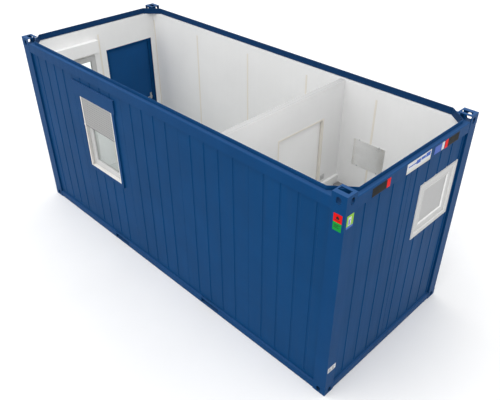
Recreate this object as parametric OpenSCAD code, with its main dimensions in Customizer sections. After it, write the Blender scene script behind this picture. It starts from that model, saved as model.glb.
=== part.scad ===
// Portable site cabin on a steel frame, shown with its roof panel off.
// Origin: middle of the footprint, on the ground. +X runs to the small room's end,
// +Y to the plain long wall, +Z up. Millimetres.

/* [Overall] */
// Length over the corner fittings
cabin_len = 6055; // [5400:5:7200]
// Width over the corner fittings
cabin_wid = 2435; // [2300:5:3000]
// Height over the corner fittings
cabin_hgt = 2800; // [2600:5:3100]
// Depth of the outer cladding behind the face of the fittings
wall_in = 30; // [24:1:36]
// Thickness kept free for the grooved cladding
skin = 10; // [6:1:14]
// Distance from the face of the fittings to the inner wall lining
lining_in = 97.5; // [85:0.5:140]

/* [Corner fittings and posts] */
// Size of a fitting along the cabin
fit_u = 178; // [170:1:190]
// Size of a fitting across the cabin
fit_v = 156; // [150:1:162]
// Plate thickness of a fitting
fit_plate = 8; // [6:1:12]
// Length of the square-ended lifting opening in a top fitting
lift_len = 126; // [110:1:130]
// Width of the lifting opening
lift_wid = 60; // [50:1:64]
// Length of the round-ended slot under a bottom fitting
slot_len = 124; // [110:1:128]
// Width of the slot under a bottom fitting
slot_wid = 62; // [56:1:66]
// Height of an oval side hole
oval_hgt = 82; // [60:1:84]
// Width of an oval side hole
oval_wid = 60; // [40:1:64]
// Depth of the post faces behind the faces of the fittings
post_in = 1.5; // [1:0.5:4]

/* [Rails] */
// Height of the base rails' top edge
base_top = 104; // [100:1:106]
// Height of the base rails' lower edge
base_low = 10; // [6:1:14]
// Lower edge of the roof rails
roof_low = 2596; // [2580:1:2600]
// Flat top of the roof rails
roof_top = 2730; // [2722:1:2740]
// Top of the upright lip that the roof panel lands on
lip_top = 2778; // [2760:1:2785]
// Lower edge of the same plate, just above the wall panels
lip_low = 2691; // [2688:1:2712]
// Distance from the face of the fittings to the lip
lip_in = 53.5; // [48:0.5:60]
// Where the corner chamfer of the lip starts, along the cabin
cham_u = 285; // [270:1:300]
// Where the corner chamfer of the lip starts, across the cabin
cham_v = 250; // [235:1:265]
// Width of a forklift pocket
fork_wid = 352; // [300:1:380]
// Distance between the forklift pockets
fork_gap = 2050; // [1600:10:2100]

/* [Floor and walls] */
// Height of the finished floor
floor_top = 150; // [140:1:170]
// Top of the wall panels
wall_top = 2685; // [2660:1:2700]
// Right face of the partition
part_x = 1235; // [1000:5:1500]
// Thickness of the partition
part_thk = 75; // [60:1:80]

/* [Large windows] */
// Middle of the long wall's window, along the cabin
win_x = -1188; // [-1600:1:-900]
// Middle of the end wall's window, across the cabin
end_win_y = -494; // [-500:1:-470]
// Width of a large window's opening
win_w = 776; // [600:2:800]
// Height of a large window's opening
win_h = 1116; // [900:2:1200]
// Lower edge of a large window
win_z = 1186; // [1000:1:1200]
// Visible face of frame and sash together
win_face = 78; // [60:1:90]
// Height of a shutter box
box_h = 195; // [160:1:220]
// Width of a shutter box
box_w = 1022; // [980:2:1030]
// How far the box sits off the window's middle, towards the roller's drive
box_shift = 47; // [0:1:54]
// Face width of the flat surround at the sides of and below the opening
surround = 51; // [40:1:60]
// Width of the joint at the drive side, between surround and frame
drive_joint = 12; // [0:1:16]
// How far the box and the surround stand out
box_out = 24; // [16:1:26]
// How far the shutter on the long wall is drawn down
curtain_drop = 450; // [200:5:900]

/* [Small-room window] */
// Middle of the window across the cabin
small_y = 604; // [400:1:640]
// Width of the small window
small_w = 800; // [600:2:800]
// Height of the small window
small_h = 748; // [600:2:800]
// Lower edge of the small window
small_z = 1514; // [1450:1:1560]
// Face width of its frame
small_ring = 52; // [40:1:60]
// Face width of its sash
small_sash = 92; // [60:1:100]

/* [Outer door] */
// Hinge side edge of the doorway
door_y0 = 115; // [100:1:160]
// Lock side edge of the doorway
door_y1 = 1035; // [1000:1:1050]
// Top of the doorway
door_top = 2265; // [2200:1:2300]
// Visible face of the door frame
jamb = 55; // [45:1:60]
// Thickness of a door leaf
leaf_thk = 40; // [36:1:42]
// Clearance between a moving leaf and its frame
gap = 6; // [5:0.5:8]

/* [Inner door] */
// Near edge of the inner doorway
in_y0 = -165; // [-300:1:-100]
// Far edge of the inner doorway
in_y1 = 730; // [700:1:800]
// Top of the inner doorway
in_top = 2265; // [2200:1:2300]
// Visible face of the inner door frame
in_jamb = 25; // [20:1:45]

/* [Hidden] */
hx = cabin_len / 2;
hy = cabin_wid / 2;
steel_in = 4;                     // rails and posts sit this far behind the fittings
sheet = 4;                        // folded steel of the rails
ix = hx - lining_in;              // inner faces
iy = hy - lining_in;
px = hx - wall_in;                // outer faces of the cladding
py = hy - wall_in;
wx = px - skin;                   // outer faces of the wall panels
wy = py - skin;
hole_u = 96;                      // middle of a fitting's openings along the cabin
hole_v = 88;                      // the same across it
fit_low = wall_top + 1;           // floor of the top fittings
fit_foot = 2665;                  // lower edge of their outer plates
part_x0 = part_x - part_thk;
fork_low = 18;                    // top of the fork sleeves' lower plate
fork_high = 92;                   // underside of their upper plate
liner = 6;                        // thin edge of a large window's frame
play = 2;                         // gap round a closed sash
sash_y = 32;                      // face of a large window's sash behind the cladding
head_drop = 46;                   // frame head above the sash
head_z = win_z + win_h;
leaf_out = -hx + 12;              // outer face of the outer door
leaf_in = leaf_out + leaf_thk;
lap = 28;                         // the outer leaf laps its frame by this much
leaf_y0 = door_y0 + jamb - lap;
leaf_y1 = door_y1 - jamb + lap;
leaf_top = door_top - jamb + lap;
sill_top = 178;                   // top of the steel threshold
pin_r = 8;
hinge_y = leaf_y0 - 13;           // outer door's hinge line
hinge_x = leaf_out + 4;
in_leaf_y0 = in_y0 + gap;
in_leaf_y1 = in_y1 - gap;
in_leaf_top = in_top - gap;
in_leaf_x = part_x0 - gap;        // left face of the inner leaf
in_hinge_y = in_leaf_y1 + 2;      // inner door's hinge line
in_hinge_x = in_leaf_x - 7;
hinge_z = [400, 1200, 1900];      // heights of the outer hinges
in_hinge_z = [420, 1880];
$fn = 48;

// One copy at each corner; the child is drawn with its outer corner at 0,0
module at_corners() {
  for (sx = [0, 1], sy = [0, 1])
    mirror([sx, 0, 0]) mirror([0, sy, 0]) translate([-hx, -hy, 0]) children();
}

// Flat slot along x, centred
module slot(l, w, t) {
  cube([l - w, w, t], center = true);
  for (s = [-1, 1]) translate([s * (l - w) / 2, 0, 0])
    cylinder(r = w / 2, h = t, center = true);
}

// Window and shutter places: x along the wall, y inward from its outer face, z from the sill
module in_front_wall(z) { translate([win_x, -py, z]) children(); }
module in_left_wall(z) { translate([-px, end_win_y, z]) rotate([0, 0, -90]) children(); }
module in_right_wall(z) { translate([px, small_y, z]) rotate([0, 0, 90]) children(); }

// Box given by its low and high corners
module slab(a, b) { translate(a) cube(b - a); }

module frame_ring(w, h, face, y0, y1) {
  difference() {
    slab([-w / 2, y0, 0], [w / 2, y1, h]);
    slab([-w / 2 + face, y0 - 1, face], [w / 2 - face, y1 + 1, h - face]);
  }
}

// Folded box with open inner sides; foot is where its outer plates start
module fitting(foot, z0, z1, oval_z) {
  difference() {
    union() {
      slab([0, 0, foot], [fit_plate, fit_v, z1]);
      slab([0, 0, foot], [fit_u, fit_plate, z1]);
      translate([0, 0, z0]) linear_extrude(fit_plate)
        polygon([[0, 0], [fit_u, 0], [fit_u, 82], [90, fit_v], [0, fit_v]]);
      slab([0, 0, z1 - fit_plate], [fit_u, fit_v, z1]);
      translate([0, 0, z0]) linear_extrude(z1 - z0)
        polygon([[fit_u, 70], [fit_u, 82], [90, fit_v], [78, fit_v]]);
    }
    translate([hole_u, hole_v, oval_z]) {
      translate([-hole_u, 0, 0]) rotate([0, 90, 0]) slot(oval_hgt, oval_wid, 2 * fit_plate + 2);
      translate([0, -hole_v, 0]) rotate([90, 90, 0]) slot(oval_hgt, oval_wid, 2 * fit_plate + 2);
    }
  }
}

module bottom_corner_fittings() {
  color("#1d4e7c") at_corners() difference() {
    fitting(0, 0, base_top, 52);
    translate([hole_u, hole_v, fit_plate / 2]) slot(slot_len, slot_wid, fit_plate + 2);
  }
}

module top_corner_fittings() {
  color("#1d4e7c") at_corners() difference() {
    fitting(fit_foot, fit_low, cabin_hgt, cabin_hgt - 76);
    translate([hole_u, hole_v, cabin_hgt - fit_plate / 2])
      cube([lift_len, lift_wid, fit_plate + 2], center = true);
  }
}

module corner_posts() {
  color("#1d4e7c") at_corners() translate([0, 0, base_top]) linear_extrude(fit_foot - base_top)
    polygon([[post_in, post_in], [fit_u, post_in], [fit_u, wall_in], [wall_in, wall_in],
             [wall_in, fit_v], [post_in, fit_v]]);
}

// Base rail section: a channel, open to the inside
module base_section() {
  e = wall_in + skin + 4;
  polygon([[steel_in, base_low], [70, base_low], [70, base_low + 5], [steel_in + 5, base_low + 5],
           [steel_in + 5, base_top - 5], [e, base_top - 5], [e, base_top], [steel_in, base_top]]);
}

// Turns a section drawn outward-in and up into a rail along x on the front side
module rail_x(l) {
  translate([-l / 2, -hy, 0]) rotate([90, 0, 90]) linear_extrude(l) children();
}

// The same along y on the left side
module rail_y(l) {
  translate([-hx, l / 2, 0]) rotate([90, 0, 0]) linear_extrude(l) children();
}

// A long base rail in three lengths; the fork sleeves pass between them
module base_rail_long() {
  m = (fork_gap - fork_wid) / 2;
  e = fork_gap / 2 + fork_wid / 2;
  l = hx - fit_u - e;
  rail_x(2 * m) base_section();
  for (k = [0, 1]) mirror([k, 0, 0]) translate([e + l / 2, 0, 0]) rail_x(l) base_section();
}

module front_base_rail() { color("#1d4e7c") base_rail_long(); }
module back_base_rail() { color("#1d4e7c") mirror([0, 1, 0]) base_rail_long(); }
module end_base_rails() {
  color("#1d4e7c") for (m = [0, 1]) mirror([m, 0, 0]) rail_y(cabin_wid - 2 * fit_v) base_section();
}

// Upper and lower plates of the fork sleeves, right across under the floor
module fork_sleeves() {
  y = hy - steel_in;
  color("#1d4e7c") for (k = [-1, 1]) translate([k * fork_gap / 2, 0, 0]) {
    slab([-fork_wid / 2, -y, base_low], [fork_wid / 2, y, fork_low]);
    slab([-fork_wid / 2, -y, fork_high], [fork_wid / 2, y, fork_high + 6]);
    for (t = [-1, 1])             // face strips above the mouths
      slab([-fork_wid / 2, t * (y - 4) - 4, fork_high + 6], [fork_wid / 2, t * (y - 4) + 4, base_top]);
  }
}

// Roof rail section without its lip
module roof_section() {
  polygon([[steel_in, roof_low], [wall_in + skin, roof_low], [wall_in + skin, roof_low + 6],
           [steel_in + sheet, roof_low + 6], [steel_in + sheet, roof_top - 6],
           [lip_in + sheet, roof_top - 6], [lip_in + sheet, roof_top],
           [steel_in + 6, roof_top], [steel_in, roof_top - 6]]);
}

// The upright plate on the rail's inner edge
module lip_section() {
  polygon([[lip_in, lip_low], [lip_in + sheet, lip_low], [lip_in + sheet, lip_top],
           [lip_in, lip_top]]);
}

module roof_rail_long() {
  rail_x(cabin_len - 2 * fit_u) roof_section();
  rail_x(cabin_len - 2 * cham_u) lip_section();
}

module front_roof_rail() { color("#1d4e7c") roof_rail_long(); }
module back_roof_rail() { color("#1d4e7c") mirror([0, 1, 0]) roof_rail_long(); }
module end_roof_rails() {
  color("#1d4e7c") for (m = [0, 1]) mirror([m, 0, 0]) {
    rail_y(cabin_wid - 2 * fit_v) roof_section();
    rail_y(cabin_wid - 2 * cham_v) lip_section();
  }
}

// Corner plate and the chamfered piece of lip on it
module roof_corner_plates() {
  e = lip_in + sheet;
  k = (cham_v - lip_in) / (cham_u - lip_in);
  color("#1d4e7c") at_corners() {
    translate([0, 0, roof_top - 6]) linear_extrude(6)
      polygon([[fit_u, e], [cham_u, e], [e, cham_v], [e, fit_v], [90, fit_v], [fit_u, 82]]);
    translate([0, 0, roof_top]) linear_extrude(lip_top - roof_top)
      polygon([[cham_u, e], [e, cham_v], [e, cham_v - 5.3], [cham_u - 5.3 / k, e]]);
  }
}

module floor_panel() {
  color("#b9bcbe") slab([-ix, -iy, base_top], [ix, iy, floor_top]);
}

module floor_tray() {
  x = hx - fit_u - 2;
  y = hy - fit_v - 2;
  color("#9aa0a4") slab([-x, -y, fork_high + 6], [x, y, base_top]);
}

// Wall slabs along x on the front side
module front_slab(x0, x1, z0, z1) { slab([x0, -wy, z0], [x1, -iy, z1]); }

module front_wall_panels() {
  color("#2a5d90") {
    front_slab(-ix, win_x - win_w / 2, base_top, wall_top);
    front_slab(win_x + win_w / 2, ix, base_top, wall_top);
  }
}

module front_wall_infill() {
  color("#2a5d90") {
    front_slab(win_x - win_w / 2, win_x + win_w / 2, base_top, win_z);
    front_slab(win_x - win_w / 2, win_x + win_w / 2, head_z, wall_top);
  }
}

module back_wall() {
  color("#2a5d90") slab([-ix, iy, base_top], [ix, wy, wall_top]);
}

// Wall slabs along y; s is 1 for the right end and -1 for the left end
module end_slab(s, y0, y1, z0, z1) {
  slab([min(s * ix, s * wx), y0, z0], [max(s * ix, s * wx), y1, z1]);
}

module right_wall_panels() {
  color("#2a5d90") {
    end_slab(1, -wy, small_y - small_w / 2, base_top, wall_top);
    end_slab(1, small_y + small_w / 2, wy, base_top, wall_top);
  }
}

module right_wall_infill() {
  color("#2a5d90") {
    end_slab(1, small_y - small_w / 2, small_y + small_w / 2, base_top, small_z);
    end_slab(1, small_y - small_w / 2, small_y + small_w / 2, small_z + small_h, wall_top);
  }
}

module left_wall_panels() {
  color("#2a5d90") {
    end_slab(-1, -wy, end_win_y - win_w / 2, base_top, wall_top);
    end_slab(-1, end_win_y + win_w / 2, door_y0, base_top, wall_top);
    end_slab(-1, door_y1, wy, base_top, wall_top);
  }
}

module left_wall_infill() {
  color("#2a5d90") {
    end_slab(-1, end_win_y - win_w / 2, end_win_y + win_w / 2, base_top, win_z);
    end_slab(-1, end_win_y - win_w / 2, end_win_y + win_w / 2, head_z, wall_top);
    end_slab(-1, door_y0, door_y1, door_top, wall_top);
    end_slab(-1, door_y0, door_y1, base_top, floor_top);
  }
}

module partition_panels() {
  color("#e4e4e2") {
    slab([part_x0, -iy, floor_top], [part_x, in_y0, wall_top]);
    slab([part_x0, in_y1, floor_top], [part_x, iy, wall_top]);
  }
}

module partition_header() {
  color("#e4e4e2") slab([part_x0, in_y0, in_top], [part_x, in_y1, wall_top]);
}

// Large window: thin frame with a deeper head, sash set well back, pane; all y from the cladding
module large_frame() {
  w = win_w / 2;
  frame_ring(win_w, win_h, liner, 4 - box_out, lining_in - wall_in);
  slab([-w + liner, 0, win_h - liner - head_drop], [w - liner, lining_in - wall_in, win_h - liner]);
}
module large_sash() {
  translate([0, 0, liner + play])
    frame_ring(win_w - 2 * (liner + play), win_h - head_drop - 2 * (liner + play), win_face,
               sash_y, sash_y + 46);
}
module large_pane() {
  w = win_w / 2 - liner - play - win_face;
  slab([-w, 58, liner + play + win_face], [w, 66, win_h - head_drop - liner - play - win_face]);
}
module in_large_windows(z) {
  in_front_wall(z) children();
  in_left_wall(z) children();
}

module large_window_frames() { color("#e9e9e7") in_large_windows(win_z) large_frame(); }
module large_window_sashes() { color("#f2f2f0") in_large_windows(win_z) large_sash(); }
module large_window_panes() { color("#c9d6d2") in_large_windows(win_z) large_pane(); }

// Box cover and flat surround in one; s is the side of the window that the drive is on
module shutter_cover(s) {
  w = win_w / 2;
  difference() {
    union() {
      slab([s * box_shift - box_w / 2, -box_out, win_h - liner],
           [s * box_shift + box_w / 2, 0, win_h + box_h]);
      slab([-w - surround, -box_out, -surround], [w + surround, 0, win_h]);
    }
    slab([-w, -box_out - 1, 0], [w, 1, win_h]);
    slab([min(s * w, s * (w + drive_joint)), -box_out - 1, 0],
         [max(s * w, s * (w + drive_joint)), 1, win_h - liner]);
  }
}
module shutter_covers() {
  color("#2a5d90") {
    in_front_wall(win_z) shutter_cover(-1);
    in_left_wall(win_z) shutter_cover(1);
  }
}
module shutter_casings() {
  w = box_w / 2 - 30;
  y = lining_in - wall_in;
  color("#e4e4e2") {
    in_front_wall(head_z) slab([-box_shift - w, y, 0], [-box_shift + w, y + 88, box_h]);
    in_left_wall(head_z) slab([box_shift - w, y, 0], [box_shift + w, y + 88, box_h]);
  }
}
module shutter_curtain() {
  w = win_w / 2 - liner;
  color("#b9bcbc") in_front_wall(win_z)
    slab([-w, -14, win_h - curtain_drop], [w, -5, win_h - liner]);
}

// Small window without a shutter
module small_window_frame() {
  color("#e9e9e7") in_right_wall(small_z)
    frame_ring(small_w, small_h, small_ring, -6, lining_in - wall_in);
}
module small_window_sash() {
  w = small_w - 2 * small_ring - 2 * play;
  h = small_h - 2 * small_ring - 2 * play;
  color("#f2f2f0") in_right_wall(small_z + small_ring + play)
    frame_ring(w, h, small_sash - play, 12, 60);
}
module small_window_pane() {
  w = small_w / 2 - small_ring - small_sash;
  color("#c9d6d2") in_right_wall(small_z)
    slab([-w, 26, small_ring + small_sash], [w, 34, small_h - small_ring - small_sash]);
}

// Outer door frame: a thin lining of the doorway and a stop that the leaf laps from outside
module outer_door_jambs() {
  stop_x = leaf_in + gap;
  color("#1d4e7c") {
    for (k = [[door_y0, 1], [door_y1, -1]]) translate([0, 0, floor_top])
      linear_extrude(door_top - floor_top)
        polygon([[-ix, k[0]], [-ix, k[0] + k[1] * 10], [stop_x + 20, k[0] + k[1] * 10],
                 [stop_x + 20, k[0] + k[1] * jamb], [stop_x, k[0] + k[1] * jamb], [stop_x, k[0]]]);
    for (z = hinge_z) {           // fixed halves of the hinges
      translate([hinge_x, hinge_y, z]) cylinder(r = pin_r, h = 60);
      slab([hinge_x, door_y0, z], [stop_x, hinge_y, z + 60]);
    }
  }
}

module outer_door_head() {
  stop_x = leaf_in + gap;
  color("#1d4e7c") {
    slab([stop_x, door_y0 + jamb, door_top - jamb], [stop_x + 20, door_y1 - jamb, door_top]);
    slab([stop_x + 20, door_y0 + 10, door_top - 10], [-ix, door_y1 - 10, door_top]);
  }
}

module outer_door_threshold() {
  color("#9aa0a4")
    slab([leaf_in + gap, door_y0 + jamb, floor_top], [-ix + 20, door_y1 - jamb, sill_top]);
}

module outer_door_leaf() {
  color("#1f5286") slab([leaf_out, leaf_y0, floor_top + 8], [leaf_in, leaf_y1, leaf_top]);
}

// Lever handle on a plate; s is the side it stands on, throw the way the lever points
module lever(s, throw) {
  slab([min(0, s * 8), -20, -60], [max(0, s * 8), 20, 60]);
  rotate([0, s * 90, 0]) cylinder(r = 9, h = 45);
  translate([s * 40, 0, 0]) rotate([throw * 90, 0, 0]) cylinder(r = 9, h = 120);
}

module outer_door_handles() {
  y = leaf_y1 - 65;
  color("#c4c6c8") {
    translate([leaf_out, y, 1180]) lever(-1, 1);
    translate([leaf_in, y, 1180]) lever(1, 1);
  }
}

module outer_door_hinges() {
  color("#c4c6c8") for (z = hinge_z) {
    translate([hinge_x, hinge_y, z + 65]) cylinder(r = pin_r, h = 60);
    slab([leaf_out, hinge_y, z + 65], [leaf_out + 8, leaf_y0, z + 125]);
  }
}

// Inner door: light steel frame round the partition's opening, leaf nearly flush on its left
module inner_door_jambs() {
  x0 = in_leaf_x + leaf_thk + gap;
  color("#d8d3c6") {
    slab([x0, in_y0, floor_top], [part_x + 2, in_y0 + in_jamb, in_top]);
    slab([x0, in_y1 - in_jamb, floor_top], [part_x + 2, in_y1, in_top]);
    for (z = in_hinge_z) {        // fixed halves of the hinges
      translate([in_hinge_x, in_hinge_y, z]) cylinder(r = 7, h = 45);
      slab([in_hinge_x, in_hinge_y + 4, z], [part_x0, in_hinge_y + 30, z + 45]);
    }
  }
}

module inner_door_head() {
  color("#d8d3c6") slab([in_leaf_x + leaf_thk + gap, in_y0 + in_jamb, in_top - in_jamb],
                        [part_x + 2, in_y1 - in_jamb, in_top]);
}

module inner_door_leaf() {
  color("#dcdcdb")
    slab([in_leaf_x, in_leaf_y0, floor_top + 8], [in_leaf_x + leaf_thk, in_leaf_y1, in_leaf_top]);
}

module inner_door_handles() {
  y = in_leaf_y0 + 90;
  color("#c4c6c8") {
    translate([in_leaf_x, y, 1190]) lever(-1, -1);
    translate([in_leaf_x + leaf_thk, y, 1190]) lever(1, -1);
  }
}

module inner_door_hinges() {
  color("#c4c6c8") for (z = in_hinge_z) {
    translate([in_hinge_x, in_hinge_y, z + 50]) cylinder(r = 7, h = 45);
    slab([in_hinge_x, in_hinge_y - 40, z + 50], [in_leaf_x, in_hinge_y, z + 95]);
  }
}

module wall_mirror() { color("#b0b4b6") slab([1480, iy - 6, 1520], [1980, iy, 1920]); }
module pipe_ledge() { color("#e8e8e6") slab([part_x, 770, floor_top], [part_x + 38, iy, 1240]); }
module wall_cabinet() { color("#8f9193") slab([1285, iy - 110, 760], [1645, iy, 1125]); }

bottom_corner_fittings();
corner_posts();
top_corner_fittings();
front_base_rail();
back_base_rail();
end_base_rails();
fork_sleeves();
front_roof_rail();
back_roof_rail();
end_roof_rails();
roof_corner_plates();
floor_panel();
floor_tray();
front_wall_panels();
front_wall_infill();
back_wall();
right_wall_panels();
right_wall_infill();
left_wall_panels();
left_wall_infill();
partition_panels();
partition_header();
large_window_frames();
large_window_sashes();
large_window_panes();
shutter_covers();
shutter_casings();
shutter_curtain();
small_window_frame();
small_window_sash();
small_window_pane();
outer_door_jambs();
outer_door_head();
outer_door_threshold();
outer_door_leaf();
outer_door_handles();
outer_door_hinges();
inner_door_jambs();
inner_door_head();
inner_door_leaf();
inner_door_handles();
inner_door_hinges();
wall_mirror();
pipe_ledge();
wall_cabinet();
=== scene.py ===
import math

import bmesh
import bpy
from mathutils import Matrix, Vector


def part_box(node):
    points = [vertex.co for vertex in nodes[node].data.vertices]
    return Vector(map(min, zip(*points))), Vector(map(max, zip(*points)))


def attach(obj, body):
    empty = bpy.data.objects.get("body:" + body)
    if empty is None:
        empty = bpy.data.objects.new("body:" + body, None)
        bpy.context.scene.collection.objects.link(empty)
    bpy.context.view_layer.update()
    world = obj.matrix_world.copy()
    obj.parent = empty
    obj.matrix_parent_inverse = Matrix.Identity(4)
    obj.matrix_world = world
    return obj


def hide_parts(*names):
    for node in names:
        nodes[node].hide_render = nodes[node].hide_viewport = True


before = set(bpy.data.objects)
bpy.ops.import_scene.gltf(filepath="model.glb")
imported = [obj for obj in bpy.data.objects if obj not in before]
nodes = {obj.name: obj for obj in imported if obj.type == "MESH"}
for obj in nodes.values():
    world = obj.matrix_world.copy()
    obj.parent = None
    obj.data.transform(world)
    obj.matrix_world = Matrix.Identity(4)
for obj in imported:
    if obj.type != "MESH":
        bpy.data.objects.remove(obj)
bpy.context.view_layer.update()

scene = bpy.context.scene
print("frame loaded:", len(nodes), "nodes")

# places, all read from the frame
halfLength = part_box("top_corner_fittings")[1].x
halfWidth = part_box("top_corner_fittings")[1].y
skinGap = 0.010                                   # room kept for the cladding outside the wall slabs
faceY = -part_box("front_wall_infill")[0].y + skinGap
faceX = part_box("right_wall_infill")[1].x + skinGap
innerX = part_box("floor_panel")[1].x
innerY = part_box("floor_panel")[1].y
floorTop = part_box("floor_panel")[1].z
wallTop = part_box("back_wall")[1].z
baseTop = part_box("front_base_rail")[1].z
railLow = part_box("front_roof_rail")[0].z
plateThick = 0.006                                # the corner plates' level part
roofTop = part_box("roof_corner_plates")[0].z + plateThick  # flat top of the roof rails
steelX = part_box("end_roof_rails")[1].x            # outer faces of the rails
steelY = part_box("back_roof_rail")[1].y
postX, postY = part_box("corner_posts")[1].x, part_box("corner_posts")[1].y
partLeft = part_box("partition_header")[0].x
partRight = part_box("partition_header")[1].x


def wallMatrix(side):
    # local x runs along the wall, y goes inward from the cladding, z up
    turn = {"front": 0, "right": 90, "back": 180, "left": -90}[side]
    out = {"front": (0, -faceY, 0), "right": (faceX, 0, 0),
           "back": (0, faceY, 0), "left": (-faceX, 0, 0)}[side]
    return Matrix.Translation(out) @ Matrix.Rotation(math.radians(turn), 4, "Z")


# mesh helpers: each adds to one bmesh, so a piece can be made of many shapes
def addBox(bm, low, high):
    made = bmesh.ops.create_cube(bm, size=1.0)["verts"]
    low, high = Vector(low), Vector(high)
    for v in made:
        v.co = Vector(low[i] + (v.co[i] + 0.5) * (high[i] - low[i]) for i in range(3))


def addRod(bm, start, end, radius, sides=20):
    start, end = Vector(start), Vector(end)
    turn = (end - start).to_track_quat("Z", "Y").to_matrix().to_4x4()
    place = Matrix.Translation((start + end) / 2) @ turn
    bmesh.ops.create_cone(bm, cap_ends=True, segments=sides, radius1=radius, radius2=radius,
                          depth=(end - start).length, matrix=place)


def addPrism(bm, outline, place):
    # outline is a closed list of 2D points, place turns (a, b, end) into a 3D point for end 0 and 1
    first = [bm.verts.new(place(a, b, 0)) for a, b in outline]
    second = [bm.verts.new(place(a, b, 1)) for a, b in outline]
    bm.faces.new(first)
    bm.faces.new(reversed(second))
    for i in range(len(outline)):
        j = (i + 1) % len(outline)
        bm.faces.new((first[j], first[i], second[i], second[j]))


def addRing(bm, width, height, section, bottom=0.0):
    # mitred frame; section is a closed list of (inset from the outer edge, y)
    loops = []
    for inset, y in section:
        x, z0, z1 = width / 2 - inset, bottom + inset, bottom + height - inset
        corners = [(-x, y, z0), (x, y, z0), (x, y, z1), (-x, y, z1)]
        loops.append([bm.verts.new(c) for c in corners])
    for k in range(len(loops)):
        a, b = loops[k], loops[(k + 1) % len(loops)]
        for i in range(4):
            j = (i + 1) % 4
            bm.faces.new((a[i], a[j], b[j], b[i]))


def pieceFrom(bm, name, finish, body="cabin", place=None, bevel=0.0, angle=35):
    if place is not None:
        bmesh.ops.transform(bm, matrix=place, verts=bm.verts)
    bmesh.ops.recalc_face_normals(bm, faces=bm.faces)
    mesh = bpy.data.meshes.new(name)
    bm.to_mesh(mesh)
    bm.free()
    mesh.materials.append(finish)
    piece = bpy.data.objects.new(name, mesh)
    scene.collection.objects.link(piece)
    softenEdges(piece, bevel, angle)
    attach(piece, body)
    return piece


def softenEdges(piece, bevel, angle=35):
    if bevel > 0:
        cut = piece.modifiers.new("edges", "BEVEL")
        cut.width = bevel
        cut.segments = 2
        cut.limit_method = "ANGLE"
        cut.angle_limit = math.radians(angle)
        cut.harden_normals = True
    piece.data.shade_smooth()
    piece.data.set_sharp_from_angle(angle=math.radians(angle))
    weigh = piece.modifiers.new("shading", "WEIGHTED_NORMAL")
    weigh.keep_sharp = True
    weigh.weight = 80


# finishes
def startFinish(name):
    material = bpy.data.materials.new(name)
    material.use_nodes = True
    tree = material.node_tree
    shader = tree.nodes["Principled BSDF"]
    coord = tree.nodes.new("ShaderNodeTexCoord")
    return material, tree, shader, coord.outputs["Object"]


def noiseOn(tree, coord, size, detail=4.0, stretch=(1, 1, 1)):
    # size is the width of one patch in metres
    space = tree.nodes.new("ShaderNodeMapping")
    space.inputs["Scale"].default_value = stretch
    noise = tree.nodes.new("ShaderNodeTexNoise")
    noise.inputs["Scale"].default_value = 1.0 / size
    noise.inputs["Detail"].default_value = detail
    noise.inputs["Roughness"].default_value = 0.55
    tree.links.new(coord, space.inputs["Vector"])
    tree.links.new(space.outputs["Vector"], noise.inputs["Vector"])
    return noise.outputs["Fac"]


def spread(tree, value, low, high, fromLow=0.3, fromHigh=0.7):
    remap = tree.nodes.new("ShaderNodeMapRange")
    remap.inputs["From Min"].default_value = fromLow
    remap.inputs["From Max"].default_value = fromHigh
    remap.inputs["To Min"].default_value = low
    remap.inputs["To Max"].default_value = high
    tree.links.new(value, remap.inputs["Value"])
    return remap.outputs["Result"]


def blendColours(tree, amount, first, second):
    mix = tree.nodes.new("ShaderNodeMix")
    mix.data_type = "RGBA"
    for colour, place in ((first, 6), (second, 7)):
        if hasattr(colour, "links"):
            tree.links.new(colour, mix.inputs[place])
        else:
            mix.inputs[place].default_value = (*colour, 1.0)
    tree.links.new(amount, mix.inputs[0])
    return mix.outputs[2]


def edgeMask(tree, radius, strength):
    # 0 on flat faces, rising on outer and inner edges
    bevel = tree.nodes.new("ShaderNodeBevel")
    bevel.samples = 4
    bevel.inputs["Radius"].default_value = radius
    geometry = tree.nodes.new("ShaderNodeNewGeometry")
    dot = tree.nodes.new("ShaderNodeVectorMath")
    dot.operation = "DOT_PRODUCT"
    tree.links.new(bevel.outputs["Normal"], dot.inputs[0])
    tree.links.new(geometry.outputs["Normal"], dot.inputs[1])
    return spread(tree, dot.outputs["Value"], strength, 0.0, 0.70, 0.995)


def bumpFrom(tree, shader, heights):
    # heights: list of (value, distance in metres, strength)
    last = None
    for value, distance, strength in heights:
        bump = tree.nodes.new("ShaderNodeBump")
        bump.inputs["Distance"].default_value = distance
        bump.inputs["Strength"].default_value = strength
        tree.links.new(value, bump.inputs["Height"])
        if last is not None:
            tree.links.new(last, bump.inputs["Normal"])
        last = bump.outputs["Normal"]
    tree.links.new(last, shader.inputs["Normal"])


def paler(colour, share, added):
    return [min(1.0, c * share + added) for c in colour]


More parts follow.
